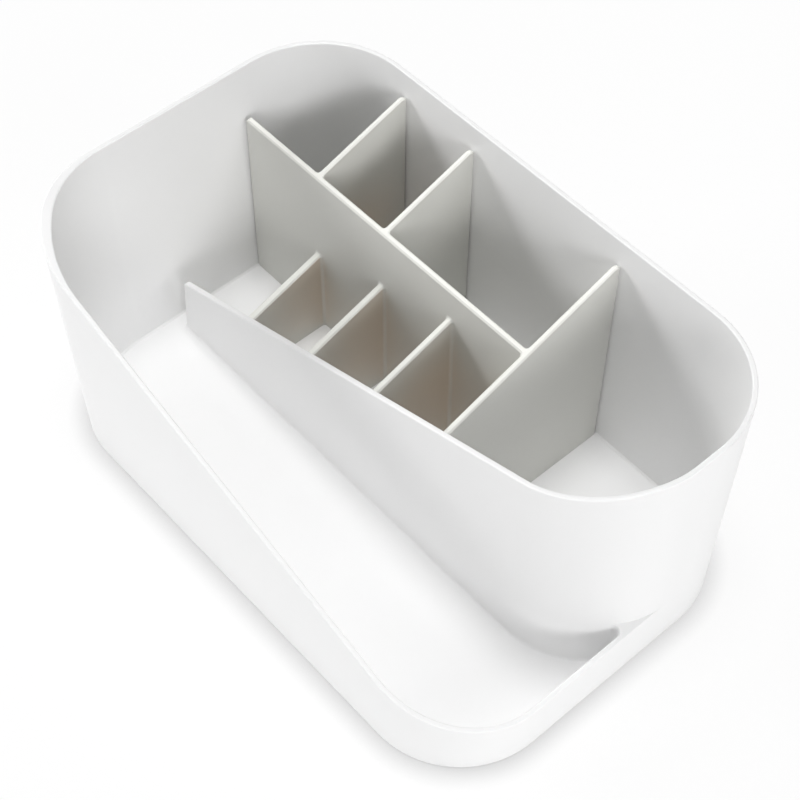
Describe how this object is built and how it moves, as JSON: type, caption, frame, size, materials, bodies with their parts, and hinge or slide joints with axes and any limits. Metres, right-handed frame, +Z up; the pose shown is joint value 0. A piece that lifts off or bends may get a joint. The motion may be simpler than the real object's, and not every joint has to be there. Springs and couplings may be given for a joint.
{
  "type": "makeup organizer",
  "caption": "Rounded open desk organizer with a low front tray, a tall back bin with sloping rims and a lift-out divider that makes upright compartments.",
  "frame": {"origin": "centre of the rim's outline, on the surface that the pads stand on", "axes": "+X right along the long side seen from the tray, +Y to the back, +Z up"},
  "size_m": [0.265, 0.1697, 0.1212],
  "materials": {
    "shell": "satin",
    "divider": "fine matte",
    "pad": "matte"
  },
  "bodies": {
    "box": {"outer_shell": "shell", "foot_pad_front_left": "pad", "foot_pad_front_right": "pad", "foot_pad_back_left": "pad", "foot_pad_back_right": "pad"},
    "divider": {"divider_insert": "divider"}
  },
  "joints": [
    {"name": "insert_lift", "type": "slide", "parent": "box", "child": "divider", "axis": [0, 0, 1], "range_m": [0, 0.125]}
  ]
}
